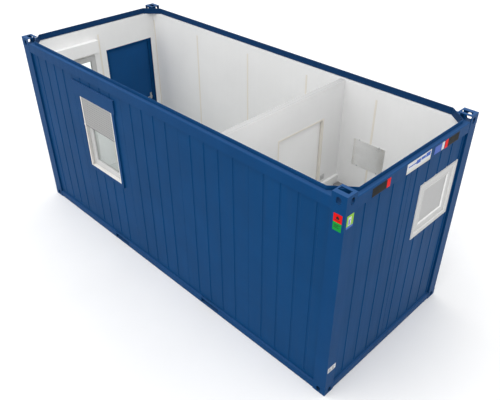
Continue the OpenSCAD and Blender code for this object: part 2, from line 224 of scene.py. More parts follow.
def paintFinish(spec):
    # painted steel or board: broad patches, run-down streaks, fine skin, rubbed edges, and painted light
    # that makes faces turned up paler
    material, tree, shader, coord = startFinish(spec["name"])
    patches = noiseOn(tree, coord, 0.6)
    streaks = noiseOn(tree, coord, 0.05, 3.0, (1, 1, 0.06))
    skin = noiseOn(tree, coord, 0.004, 2.0)
    base = Vector(spec["colour"])
    change = spec["change"]
    colour = blendColours(tree, spread(tree, patches, 0.0, 1.0), base * (1 - change), base * (1 + change))
    dusty = paler(spec["colour"], 0.75, spec.get("dust", 0.04))
    amount = spread(tree, streaks, 0.0, spec.get("dustAmount", 0.25), 0.45, 0.85)
    colour = blendColours(tree, amount, colour, dusty)
    if spec.get("litTops", 0.0) > 0:                # painted light: faces turned up are made paler, as light falls on tops
        geometry = tree.nodes.new("ShaderNodeNewGeometry")
        parts = tree.nodes.new("ShaderNodeSeparateXYZ")
        tree.links.new(geometry.outputs["Normal"], parts.inputs["Vector"])
        level = spread(tree, parts.outputs["Z"], 0.0, spec["litTops"], 0.55, 0.95)
        colour = blendColours(tree, level, colour, paler(spec["colour"], 1.6, 0.035))
    rubbed = paler(spec["colour"], 1.25, 0.02)
    colour = blendColours(tree, edgeMask(tree, 0.004, spec.get("wear", 0.5)), colour, rubbed)
    tree.links.new(colour, shader.inputs["Base Color"])
    rough = spec["rough"]
    tree.links.new(spread(tree, streaks, rough - 0.05, rough + 0.07), shader.inputs["Roughness"])
    shader.inputs["Specular IOR Level"].default_value = spec.get("gloss", 0.3)
    shader.inputs["Sheen Weight"].default_value = spec.get("sheen", 0.0)  # fine dust seen at low angles
    shader.inputs["Sheen Roughness"].default_value = 0.35
    bumpFrom(tree, shader, [(patches, 0.002, spec.get("wave", 0.10)),
                            (skin, 0.0003, spec.get("peel", 0.25))])
    return material


def metalFinish(spec):
    # brushed metal with a grain along one axis and dull fingerprints
    material, tree, shader, coord = startFinish(spec["name"])
    grain = noiseOn(tree, coord, 0.0012, 2.0, spec.get("grain", (1, 1, 0.05)))
    smear = noiseOn(tree, coord, 0.03, 4.0)
    base = Vector(spec["colour"])
    colour = blendColours(tree, spread(tree, grain, 0.0, 1.0), base * 0.88, base * 1.08)
    colour = blendColours(tree, edgeMask(tree, 0.0015, 0.6), colour, paler(spec["colour"], 1.3, 0.0))
    tree.links.new(colour, shader.inputs["Base Color"])
    rough = spread(tree, smear, spec["rough"] - 0.06, spec["rough"] + 0.12)
    tree.links.new(rough, shader.inputs["Roughness"])
    shader.inputs["Metallic"].default_value = 1.0
    bumpFrom(tree, shader, [(grain, 0.0001, 0.35)])
    return material


def plasticFinish(spec):
    material, tree, shader, coord = startFinish(spec["name"])
    cloud = noiseOn(tree, coord, spec.get("patch", 0.12))
    grain = noiseOn(tree, coord, 0.0016, 3.0)
    base = Vector(spec["colour"])
    colour = blendColours(tree, spread(tree, cloud, 0.0, 1.0), base * 0.95, base * 1.025)
    colour = blendColours(tree, edgeMask(tree, 0.002, 0.4), colour, paler(spec["colour"], 1.1, 0.01))
    tree.links.new(colour, shader.inputs["Base Color"])
    rough = spread(tree, cloud, spec["rough"] - 0.06, spec["rough"] + 0.06)
    tree.links.new(rough, shader.inputs["Roughness"])
    shader.inputs["Specular IOR Level"].default_value = spec.get("gloss", 0.35)
    bumpFrom(tree, shader, [(grain, 0.0002, 0.2)])
    return material


def glassFinish(spec):
    material, tree, shader, coord = startFinish(spec["name"])
    film = noiseOn(tree, coord, 0.15, 3.0)
    frost = noiseOn(tree, coord, spec.get("frost", 0.02), 3.0)
    base = Vector(spec["colour"])
    colour = blendColours(tree, spread(tree, film, 0.0, 1.0), base * 0.97, base)
    tree.links.new(colour, shader.inputs["Base Color"])
    tree.links.new(spread(tree, film, spec["rough"], spec["rough"] + 0.05), shader.inputs["Roughness"])
    shader.inputs["Transmission Weight"].default_value = spec["clear"]
    shader.inputs["IOR"].default_value = 1.45
    bumpFrom(tree, shader, [(frost, 0.001, spec.get("ripple", 0.05))])
    return material


def floorFinish(spec):
    # sheet flooring with small chips of lighter and darker colour
    material, tree, shader, coord = startFinish(spec["name"])
    chips = tree.nodes.new("ShaderNodeTexVoronoi")
    chips.inputs["Scale"].default_value = 220
    tree.links.new(coord, chips.inputs["Vector"])
    cloud = noiseOn(tree, coord, 0.9)
    base = Vector(spec["colour"])
    grey = tree.nodes.new("ShaderNodeRGBToBW")
    tree.links.new(chips.outputs["Color"], grey.inputs["Color"])
    speckle = spread(tree, grey.outputs["Val"], 0.0, 1.0, 0.2, 0.8)
    colour = blendColours(tree, speckle, base * 0.86, base * 1.06)
    colour = blendColours(tree, spread(tree, cloud, 0.0, 0.35), colour, base * 0.9)
    tree.links.new(colour, shader.inputs["Base Color"])
    tree.links.new(spread(tree, cloud, 0.38, 0.55), shader.inputs["Roughness"])
    bumpFrom(tree, shader, [(chips.outputs["Distance"], 0.0004, 0.3)])
    return material


# blue paint of the steel frame, with painted light on its faces turned up
bluePaint = paintFinish({"name": "bluePaint", "colour": (0.0016, 0.0455, 0.1480), "rough": 0.42,
                         "gloss": 0.035, "wear": 0.35, "dust": 0.015, "dustAmount": 0.22, "change": 0.07,
                         "litTops": 0.65, "sheen": 0.04})
# as bluePaint, with the strongest painted light on faces turned up, for the shutter box ledge
coverBlue = paintFinish({"name": "coverBlue", "colour": (0.0016, 0.0455, 0.1480), "rough": 0.42,
                         "gloss": 0.035, "wear": 0.35, "dust": 0.015, "change": 0.06, "litTops": 1.0,
                         "sheen": 0.04})
blueSheet = paintFinish({"name": "blueSheet", "colour": (0.0016, 0.0465, 0.1480), "rough": 0.45,
                         "gloss": 0.035, "wear": 0.25, "dust": 0.016, "dustAmount": 0.30, "change": 0.08,
                         "wave": 0.16, "sheen": 0.04})
# painted shading: the lip's outer faces get their own copy of the blue, a little lighter, for how light
# falls on them
lipShadingBlue = paintFinish({"name": "lipShadingBlue", "colour": (0.0040, 0.0520, 0.1600), "rough": 0.45, "gloss": 0.035,
                       "wear": 0.3, "dust": 0.01, "change": 0.06, "sheen": 0.03})
# painted shade: a darker copy of the blue for the roof steel's faces turned to the rooms and for the corner
# fillers
shadedInsideBlue = paintFinish({"name": "shadedInsideBlue", "colour": (0.0055, 0.0360, 0.1120), "rough": 0.5,
                          "gloss": 0.05, "wear": 0.25, "dust": 0.008, "change": 0.06})
doorBlue = paintFinish({"name": "doorBlue", "colour": (0.0065, 0.0640, 0.2000), "rough": 0.42, "gloss": 0.06,
                        "wear": 0.35, "dust": 0.012, "change": 0.06})
whiteBoard = paintFinish({"name": "whiteBoard", "colour": (0.84, 0.84, 0.838), "rough": 0.5, "gloss": 0.2,
                          "wear": 0.3, "dust": 0.12, "dustAmount": 0.12, "change": 0.02, "peel": 0.15})
# painted shade: a darker copy of the white board for the partition's top faces
shadedTopWhite = paintFinish({"name": "shadedTopWhite", "colour": (0.50, 0.50, 0.498), "rough": 0.5, "gloss": 0.15,
                        "wear": 0.3, "dust": 0.10, "change": 0.02})
doorWhite = paintFinish({"name": "doorWhite", "colour": (0.95, 0.95, 0.945), "rough": 0.45, "gloss": 0.2,
                         "wear": 0.3, "dust": 0.12, "dustAmount": 0.10, "change": 0.02, "peel": 0.15})
beigeStrip = paintFinish({"name": "beigeStrip", "colour": (0.80, 0.76, 0.69), "rough": 0.45, "gloss": 0.2,
                          "wear": 0.3, "dust": 0.10, "dustAmount": 0.15, "change": 0.03})
casingGrey = paintFinish({"name": "casingGrey", "colour": (0.24, 0.24, 0.245), "rough": 0.5, "gloss": 0.2,
                          "change": 0.05})
whiteProfile = plasticFinish({"name": "whiteProfile", "colour": (0.54, 0.54, 0.536), "rough": 0.4})
# painted highlight: a brighter copy of the white profile for the narrow sides of frames, sashes and beads
highlightProfile = plasticFinish({"name": "highlightProfile", "colour": (0.86, 0.86, 0.85), "rough": 0.4})
frameGrey = plasticFinish({"name": "frameGrey", "colour": (0.50, 0.50, 0.497), "rough": 0.4})
warmProfile = plasticFinish({"name": "warmProfile", "colour": (0.80, 0.785, 0.755), "rough": 0.4})
slatGrey = plasticFinish({"name": "slatGrey", "colour": (0.33, 0.33, 0.328), "rough": 0.45, "patch": 0.3})
sealGrey = plasticFinish({"name": "sealGrey", "colour": (0.36, 0.36, 0.36), "rough": 0.6, "gloss": 0.2})
blackRubber = plasticFinish({"name": "blackRubber", "colour": (0.014, 0.014, 0.014), "rough": 0.6,
                             "gloss": 0.08})
boxBlack = plasticFinish({"name": "boxBlack", "colour": (0.018, 0.017, 0.015), "rough": 0.5, "gloss": 0.06})
signalRed = plasticFinish({"name": "signalRed", "colour": (0.66, 0.006, 0.005), "rough": 0.4, "gloss": 0.05})
signalGreen = plasticFinish({"name": "signalGreen", "colour": (0.006, 0.27, 0.040), "rough": 0.4,
                             "gloss": 0.05})
leafGreen = plasticFinish({"name": "leafGreen", "colour": (0.24, 0.47, 0.05), "rough": 0.4, "gloss": 0.05})
midBlue = plasticFinish({"name": "midBlue", "colour": (0.045, 0.105, 0.42), "rough": 0.45, "gloss": 0.15})
printBlue = plasticFinish({"name": "printBlue", "colour": (0.02, 0.09, 0.42), "rough": 0.45, "gloss": 0.15})
labelWhite = plasticFinish({"name": "labelWhite", "colour": (0.60, 0.61, 0.62), "rough": 0.4, "gloss": 0.10})
labelCream = plasticFinish({"name": "labelCream", "colour": (0.56, 0.55, 0.51), "rough": 0.4, "gloss": 0.10})
satinSteel = metalFinish({"name": "satinSteel", "colour": (0.60, 0.61, 0.62), "rough": 0.32})
zincSteel = metalFinish({"name": "zincSteel", "colour": (0.55, 0.57, 0.60), "rough": 0.45,
                         "grain": (1, 1, 1)})
mirrorGlass = metalFinish({"name": "mirrorGlass", "colour": (1.0, 1.0, 1.0), "rough": 0.12,
                           "grain": (0.004, 0.004, 0.004)})
clearGlass = glassFinish({"name": "clearGlass", "colour": (0.90, 0.955, 0.935), "rough": 0.0, "clear": 1.0})
frostGlass = glassFinish({"name": "frostGlass", "colour": (0.52, 0.52, 0.52), "rough": 0.5, "clear": 0.25,
                          "frost": 0.004, "ripple": 0.3})
vinyl = floorFinish({"name": "vinyl", "colour": (0.56, 0.59, 0.58)})
print("finishes made")


# the CAD nodes that stay get their finish and softened edges
def dressNodes():
    dress = {
        bluePaint: {"bottom_corner_fittings": 0.002, "top_corner_fittings": 0.002, "corner_posts": 0.003,
                    "front_base_rail": 0.0015, "back_base_rail": 0.0015, "end_base_rails": 0.0015,
                    "fork_sleeves": 0.001, "front_roof_rail": 0.0015, "back_roof_rail": 0.0015,
                    "end_roof_rails": 0.0015, "roof_corner_plates": 0.001,
                    "outer_door_jambs": 0.0015, "outer_door_head": 0.0015},
        whiteBoard: {"front_wall_panels": 0.001, "front_wall_infill": 0, "back_wall": 0.001,
                     "right_wall_panels": 0.001, "right_wall_infill": 0, "left_wall_panels": 0.001,
                     "left_wall_infill": 0, "partition_panels": 0, "partition_header": 0,
                     "pipe_ledge": 0.003, "shutter_casings": 0.004},
        doorWhite: {"inner_door_leaf": 0.002},
        whiteProfile: {"large_window_sashes": 0.002},
        frameGrey: {"small_window_frame": 0.002, "small_window_sash": 0.002},
        warmProfile: {"large_window_frames": 0.001},
        clearGlass: {"large_window_panes": 0},
        frostGlass: {"small_window_pane": 0},
        doorBlue: {"outer_door_leaf": 0.002},
        coverBlue: {"shutter_covers": 0.001},
        beigeStrip: {"inner_door_jambs": 0.0015, "inner_door_head": 0.0015},
        satinSteel: {"outer_door_handles": 0.0015, "inner_door_handles": 0.0015,
                     "outer_door_threshold": 0.001},
        zincSteel: {"outer_door_hinges": 0.001, "inner_door_hinges": 0.001, "floor_tray": 0.001},
        vinyl: {"floor_panel": 0},
        mirrorGlass: {"wall_mirror": 0.0008},
        casingGrey: {"wall_cabinet": 0.003},
    }
    for finish, group in dress.items():
        for name, bevel in group.items():
            node = nodes[name]
            node.data.materials.clear()
            node.data.materials.append(finish)
            softenEdges(node, bevel)


def paintShadingOnFaces(mesh, finish, chosen):
    # gives the chosen faces a second finish, used for painted light and shade; chosen reads a face's middle
    # and its direction
    mesh.materials.append(finish)
    for face in mesh.polygons:
        if chosen(face.center, face.normal):
            face.material_index = len(mesh.materials) - 1


def addPaintedShading(names, finish, chosen):
    for name in names:
        paintShadingOnFaces(nodes[name].data, finish, chosen)


def facesIn(middle, facing):
    # upright faces turned to the rooms
    return abs(facing.z) < 0.3 and facing.x * middle.x / halfLength + facing.y * middle.y / halfWidth < -0.3


def facesAlongWall(middle, facing):
    # the narrow sides of frames and sashes, turned up, down or sideways
    return abs(facing.y if abs(middle.x) < innerX - 0.1 else facing.x) < 0.5


def facesOutOfLip(middle, facing):
    # outer side of the lip that stands up from the roof rails
    return abs(facing.z) < 0.3 and not facesIn(middle, facing) and middle.z > roofTop


dressNodes()
roofSteel = ("front_roof_rail", "back_roof_rail", "end_roof_rails", "roof_corner_plates")
# painted shade on the roof steel's faces turned to the rooms
addPaintedShading(roofSteel, shadedInsideBlue, facesIn)
# painted shading on the outer faces of the lip on the long rails and corner plates
addPaintedShading(("front_roof_rail", "back_roof_rail", "roof_corner_plates"), lipShadingBlue, facesOutOfLip)
# painted highlight on the narrow sides of the window frames and sashes
addPaintedShading(("small_window_frame", "small_window_sash", "large_window_sashes"), highlightProfile, facesAlongWall)
# painted shade on the partition's faces turned up
addPaintedShading(("partition_panels", "partition_header"), shadedTopWhite, lambda middle, facing: facing.z > 0.9)
print("frame dressed")


# cladding: pressed sheets outside the walls
cladding = {
    "panel": 1.166,           # width of one sheet on the long walls
    "pitch": 0.2366,          # spacing of the grooves
    "perPanel": 4,
    "grooveTop": 2.578,
    "grooveFoot": 0.142,
    # half width and depth of a groove from its rim to its bed, and the same for a sheet joint
    "section": ((0.0200, 0.0), (0.0188, 0.0012), (0.0160, 0.0052), (0.0146, 0.0064), (0.0130, 0.0068)),
    "seam": ((-0.0030, 0.0), (-0.0012, 0.0022), (0.0012, 0.0022), (0.0030, 0.0)),
    "arcSteps": 5,
    "thickness": 0.0009,
    "cornerGap": 0.004,       # kept free at the upright corners
    "railGap": 0.0005,
    "endFirst": -0.877,       # grooves on the end walls, across the cabin
    "endSecond": 0.0495,
    "endPitch": 0.2383,
}


def grooveRows(radius):
    # (x offset, z) down the left side of one ring of a groove, from its foot to its top
    steps = cladding["arcSteps"]
    outer = cladding["section"][0][0]
    foot, top = cladding["grooveFoot"] + outer, cladding["grooveTop"] - outer
    rows = []
    for k in range(steps + 1):
        a = math.pi / 2 * k / steps
        rows.append((radius * math.sin(a), foot - radius * math.cos(a)))
    for k in range(steps + 1):
        a = math.pi / 2 * k / steps
        rows.append((radius * math.cos(a), top + radius * math.sin(a)))
    return rows


def groovedSheet(name, side, grooves, seams, half, openings):
    bm = bmesh.new()
    low, high = baseTop + cladding["railGap"], railLow - cladding["railGap"]
    outer = grooveRows(cladding["section"][0][0])

    def upright(points):
        return [bm.verts.new(p) for p in points]

    def strip(a, b):
        for i in range(len(a) - 1):
            corners = (a[i], b[i], b[i + 1], a[i + 1])
            if (corners[0].co - corners[1].co).length < 1e-6:
                corners = corners[1:]
            elif (corners[2].co - corners[3].co).length < 1e-6:
                corners = corners[:3]
            bm.faces.new(corners)

    def plain(x, depth=0.0):
        return [(x, depth, low)] + [(x, depth, z) for _, z in outer] + [(x, depth, high)]

    lines = []                                    # pairs (left upright, right upright) of each feature
    marks = sorted([(g, "groove") for g in grooves] + [(s, "seam") for s in seams])
    for x, kind in marks:
        if kind == "seam":
            ups = [upright(plain(x + dx, depth)) for dx, depth in cladding["seam"]]
            for a, b in zip(ups, ups[1:]):
                strip(a, b)
            lines.append((ups[0], ups[-1]))
            continue
        rings = []
        for radius, depth in cladding["section"]:
            left = upright([(x - dx, depth, z) for dx, z in grooveRows(radius)])
            right = upright([(x + dx, depth, z) for dx, z in grooveRows(radius)])
            rings.append((left, right))
        for a, b in zip(rings, rings[1:]):
            strip(a[0], b[0])
            strip(b[1], a[1])
        strip(rings[-1][0], rings[-1][1])
        ends = [upright([(x, 0, z)])[0] for z in (low, low, high, high)]
        lines.append(([ends[0]] + rings[0][0] + [ends[2]], [ends[1]] + rings[0][1] + [ends[3]]))
    edges = [upright(plain(-half)), upright(plain(half))]
    chain = [edges[0]] + [u for pair in lines for u in pair] + [edges[1]]
    for k in range(0, len(chain), 2):
        strip(chain[k], chain[k + 1])
    bmesh.ops.remove_doubles(bm, verts=bm.verts, dist=1e-5)
    for x0, x1, z0, z1 in openings:
        for point, normal in (((x0, 0, 0), (1, 0, 0)), ((x1, 0, 0), (1, 0, 0)),
                              ((0, 0, z0), (0, 0, 1)), ((0, 0, z1), (0, 0, 1))):
            everything = bm.verts[:] + bm.edges[:] + bm.faces[:]
            bmesh.ops.bisect_plane(bm, geom=everything, dist=1e-5, plane_co=point, plane_no=normal)
        inside = []
        for f in bm.faces:
            middle = f.calc_center_median()
            if x0 < middle.x < x1 and z0 < middle.z < z1:
                inside.append(f)
        bmesh.ops.delete(bm, geom=inside, context="FACES")
    bm.normal_update()
    if sum(f.normal.y * f.calc_area() for f in bm.faces) > 0:
        bmesh.ops.reverse_faces(bm, faces=bm.faces)
    bmesh.ops.transform(bm, matrix=wallMatrix(side), verts=bm.verts)
    mesh = bpy.data.meshes.new(name)
    bm.to_mesh(mesh)
    bm.free()
    mesh.materials.append(blueSheet)
    piece = bpy.data.objects.new(name, mesh)
    scene.collection.objects.link(piece)
    wall = piece.modifiers.new("sheet", "SOLIDIFY")
    wall.thickness = cladding["thickness"]
    wall.offset = -1
    softenEdges(piece, 0, 28)
    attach(piece, "cabin")
    return piece


def openingOf(side, node, grow):
    # the node's outline on its wall, in the wall's own x and z
    low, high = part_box(node)
    into = wallMatrix(side).inverted()
    corners = [into @ Vector((x, y, z))
               for x in (low.x, high.x) for y in (low.y, high.y) for z in (low.z, high.z)]
    xs, zs = [c.x for c in corners], [c.z for c in corners]
    return min(xs) - grow, max(xs) + grow, min(zs) - grow, max(zs) + grow


def makeCladding():
    c = cladding
    offsets = [(k - (c["perPanel"] - 1) / 2) * c["pitch"] for k in range(c["perPanel"])]
    longGrooves = [c["panel"] * p + o for p in range(-2, 3) for o in offsets]
    longSeams = [c["panel"] * (p + 0.5) for p in (-2, -1, 0, 1)]
    endGrooves = [c["endFirst"] + c["endPitch"] * k for k in range(4)]
    endGrooves += [c["endSecond"] + c["endPitch"] * k for k in range(5)]
    endSeams = [(endGrooves[3] + endGrooves[4]) / 2]
    longHalf, endHalf = faceX - c["cornerGap"], faceY - c["cornerGap"]
    groovedSheet("front_cladding", "front", longGrooves, longSeams, longHalf, [frontWindow])
    groovedSheet("back_cladding", "back", longGrooves, longSeams, longHalf, [])
    groovedSheet("right_cladding", "right", endGrooves, endSeams, endHalf, [smallWindow])
    mirrored = sorted(-g for g in endGrooves)
    groovedSheet("left_cladding", "left", mirrored, [-endSeams[0]], endHalf, [endWindow, outerDoorway])


endFrom = -2.5                                    # left of this lies the left end's window
smallFlange = 0.02                                # overlap of the small window's flange on the wall


def framePlaces():
    # the two large windows share a node, so its points are sorted by wall
    points = [v.co for v in nodes["large_window_frames"].data.vertices]
    front = [p for p in points if p.x > endFrom]
    end = [p for p in points if p.x <= endFrom]
    sill = min(p.z for p in points)
    head = max(p.z for p in points)
    frontX = (min(p.x for p in front) + max(p.x for p in front)) / 2
    endY = (min(p.y for p in end) + max(p.y for p in end)) / 2
    width = max(p.x for p in front) - min(p.x for p in front)
    return frontX, endY, width, sill, head


frontWindowX, endWindowY, largeWidth, sillZ, headZ = framePlaces()
frontWindow = (frontWindowX - largeWidth / 2, frontWindowX + largeWidth / 2, sillZ, headZ)
endWindow = (-endWindowY - largeWidth / 2, -endWindowY + largeWidth / 2, sillZ, headZ)
smallWindow = openingOf("right", "small_window_frame", -smallFlange)
outerDoorway = (-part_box("outer_door_jambs")[1].y, -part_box("outer_door_jambs")[0].y, baseTop,
                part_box("outer_door_head")[1].z)
makeCladding()
print("cladding pressed")


# inner lining: joint strips and the corner fillers on the wall tops
strips = {
    "width": 0.030, "thick": 0.003, "top": 2.56,
    "shift": -0.004,          # from the sheet joints outside
    "lastShare": 0.99,        # the last strip keeps clear of the corner
    "doorSide": -2.90,        # one more beside the outer door
    "clearOfPartition": 0.08,
    "clearOfWindow": 0.03,
}


def stripAt(bm, side, along):
    # side and along are in world terms; the strip lies on the inner face
    w, t, foot, top = strips["width"] / 2, strips["thick"], floorTop, strips["top"]
    low, high = {
        "back": ((along - w, innerY - t, foot), (along + w, innerY, top)),
        "front": ((along - w, -innerY, foot), (along + w, -innerY + t, top)),
        "left": ((-innerX, along - w, foot), (-innerX + t, along + w, top)),
        "right": ((innerX - t, along - w, foot), (innerX, along + w, top)),
    }[side]
    addBox(bm, low, high)


def makeLining():
    bm = bmesh.new()
    half = cladding["panel"] / 2
    partition = (partLeft + partRight) / 2
    spare = strips["clearOfWindow"]
    for p in range(-2, 3):
        x = cladding["panel"] * p + half * (1 if p < 2 else strips["lastShare"]) + strips["shift"]
        if abs(x - partition) > strips["clearOfPartition"] and x < innerX:
            stripAt(bm, "back", x)
            if not frontWindow[0] - spare < x < frontWindow[1] + spare:
                stripAt(bm, "front", x)
    stripAt(bm, "back", strips["doorSide"])
    stripAt(bm, "left", 0.0)
    stripAt(bm, "right", 0.0)
    pieceFrom(bm, "lining_joint_strips", beigeStrip, bevel=0.001)
    plates = nodes["roof_corner_plates"].data     # fillers from the wall tops up to the corner plates, in the darker painted-shade blue
    foot = min(v.co.z for v in plates.vertices)
    bm = bmesh.new()
    for face in plates.polygons:
        if face.normal.z < -0.9 and face.center.z < foot + 0.001:
            outline = [plates.vertices[i].co for i in face.vertices]
            addPrism(bm, [(c.x, c.y) for c in outline],
                     lambda x, y, end: (x, y, foot - 0.0005 if end else wallTop))
    bmesh.ops.dissolve_limit(bm, angle_limit=0.01, verts=bm.verts, edges=bm.edges)
    pieceFrom(bm, "corner_fillers", shadedInsideBlue)


makeLining()
print("lining trimmed")


# windows; depths are measured inward from the cladding
window = {
    "slatPitch": 0.0345, "slatFace": -0.0145, "slatBack": -0.006, "slatDepth": 0.8,
    "slatShape": ((0.0, 1.0), (0.18, 1.0), (0.22, 0.1), (0.40, 0.0), (0.80, 0.0), (0.96, 0.3), (1.0, 1.0)),
    "barHeight": 0.040,
    "sashGap": 0.008,         # from the opening to the sash
    "sashBar": 0.078,         # width of the sash's bars
    "sashFace": 0.033,
    "glassOut": 0.0575, "glassIn": 0.0662,
    "bead": 0.012,
    "lining": 0.0065,         # from the opening to the sill and the guides
    "drainCaps": 0.20,        # each side of the middle
}


def windowMatrix(side, middle, sill):
    return wallMatrix(side) @ Matrix.Translation((middle, 0, sill))


def makeCurtain():
    low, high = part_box("shutter_curtain")
    w = (high.x - low.x) / 2 - 0.001
    drop = high.z - sillZ
    foot = low.z - sillZ
    place = windowMatrix("front", frontWindowX, sillZ)
    face, back, pitch = window["slatFace"], window["slatBack"], window["slatPitch"]
    bar = window["barHeight"]

    def across(y, z, end):
        return (w if end else -w, y, z)

    outline = [(back, drop)]
    z = drop
    while z > foot + bar + 0.002:
        nextZ = max(z - pitch, foot + bar)
        for share, out in window["slatShape"]:
            outline.append((face + out * (back - face) * window["slatDepth"], z + (nextZ - z) * share))
        z = nextZ
    outline.append((back, z))
    bm = bmesh.new()
    addPrism(bm, outline, across)
    slats = pieceFrom(bm, "shutter_slats", slatGrey, place=place, angle=50)
    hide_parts("shutter_curtain")
    bm = bmesh.new()
    top = foot + bar - 0.001
    addPrism(bm, [(back + 0.002, top), (face - 0.001, top), (face - 0.003, top - 0.003),
                  (face - 0.003, foot + 0.014), (face + 0.003, foot + 0.006), (back + 0.002, foot + 0.006)],
             across)
    pieceFrom(bm, "shutter_bottom_bar", slatGrey, place=place, bevel=0.0008)
    bm = bmesh.new()
    addBox(bm, (-w, face + 0.002, foot), (w, back - 0.001, foot + 0.007))
    pieceFrom(bm, "shutter_bar_seal", blackRubber, place=place, bevel=0.001)
    bm = bmesh.new()
    addBox(bm, (-w - 0.013, -0.024, foot + 0.002), (-w + 0.010, face - 0.002, foot + 0.026))
    pieceFrom(bm, "shutter_end_stop", warmProfile, place=place, bevel=0.002)


def makeLargeWindow(name, side, middle):
    place = windowMatrix(side, middle, sillZ)
    h, w = headZ - sillZ, largeWidth
    paneLow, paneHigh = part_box("large_window_panes")
    low, high = paneLow.z - sillZ, paneHigh.z - sillZ
    gap, sashBar, face, bead = (window[k] for k in ("sashGap", "sashBar", "sashFace", "bead"))
    glassOut, glassIn = window["glassOut"], window["glassIn"]
    sashWidth = w - 2 * gap
    sashTop = high + sashBar
    paneWidth = sashWidth - 2 * sashBar
    bm = bmesh.new()                             # glazing bead outside, sloped to shed water
    addRing(bm, paneWidth + 0.004, high - low + 0.004,
            [(0, glassOut), (0, 0.036), (bead * 0.4, 0.037), (bead, 0.050), (bead, glassOut)], low - 0.002)
    pieceFrom(bm, name + "_bead", whiteProfile, place=place, bevel=0.0008)
    bm = bmesh.new()                             # seals each side of the glass
    addRing(bm, paneWidth - 2 * bead + 0.001, high - low - 2 * bead + 0.001,
            [(0, 0.0578), (0, 0.051), (0.0025, 0.0535), (0.0025, 0.0578)], low + bead - 0.0005)
    addRing(bm, paneWidth + 0.002, high - low + 0.002,
            [(0, glassIn), (0, 0.074), (0.010, 0.070), (0.010, glassIn)], low - 0.001)
    pieceFrom(bm, name + "_seals", sealGrey, place=place, bevel=0.0005)
    bm = bmesh.new()                             # closing seal round the sash, set back in the gap
    addRing(bm, sashWidth + 0.0036, sashTop - gap + 0.0036,
            [(0, 0.040), (0, 0.046), (0.0036, 0.046), (0.0036, 0.040)], 0.0062)
    pieceFrom(bm, name + "_closing_seal", warmProfile, place=place)
    bm = bmesh.new()                             # raised step along the sash edge
    addRing(bm, sashWidth - 0.004, sashTop - 0.012,
            [(0, face), (0, 0.028), (0.002, 0.0265), (0.022, 0.0265), (0.028, face)], 0.010)
    pieceFrom(bm, name + "_sash_step", whiteProfile, place=place, bevel=0.0008)
    edge = w / 2 - window["lining"]
    bm = bmesh.new()                             # sloped sill inside the frame
    addPrism(bm, [(-0.019, 0.0055), (0.031, 0.0055), (0.031, 0.012), (-0.019, 0.0075)],
             lambda y, z, end: (edge if end else -edge, y, z))
    pieceFrom(bm, name + "_sill", warmProfile, place=place, bevel=0.0008)
    bm = bmesh.new()                             # drain caps on the lower sash rail
    for x in (-window["drainCaps"], window["drainCaps"]):
        addBox(bm, (x - 0.016, 0.0245, 0.020), (x + 0.016, 0.0275, 0.028))
    pieceFrom(bm, name + "_drain_caps", whiteProfile, place=place, bevel=0.001)
    bm = bmesh.new()                             # guide rails of the shutter
    for s in (-1, 1):
        x0, x1 = sorted((s * edge, s * (edge - 0.016)))
        for y0, y1 in ((-0.0185, -0.0165), (-0.0040, -0.0020)):
            addBox(bm, (x0, y0, 0.012), (x1, y1, h - 0.008))
    pieceFrom(bm, name + "_guides", warmProfile, place=place, bevel=0.0006)
    makeSashHandle(name, place, (w / 2 - 0.045, 0.078, (low + high) / 2))


def makeSashHandle(name, place, at):
    x, y, z = at
    bm = bmesh.new()                             # rose, neck and lever
    addBox(bm, (x - 0.014, y, z - 0.035), (x + 0.014, y + 0.008, z + 0.035))
    addRod(bm, (x, y + 0.004, z), (x, y + 0.040, z), 0.009, 16)
    addPrism(bm, [(0.010, 0.012), (0.008, 0.016), (-0.008, 0.016), (-0.010, 0.012), (-0.008, -0.115),
                  (-0.004, -0.120), (0.004, -0.120), (0.008, -0.115)],
             lambda a, b, end: (x + a, y + (0.052 if end else 0.038), z + b))
    pieceFrom(bm, name + "_handle", whiteProfile, place=place, bevel=0.002)


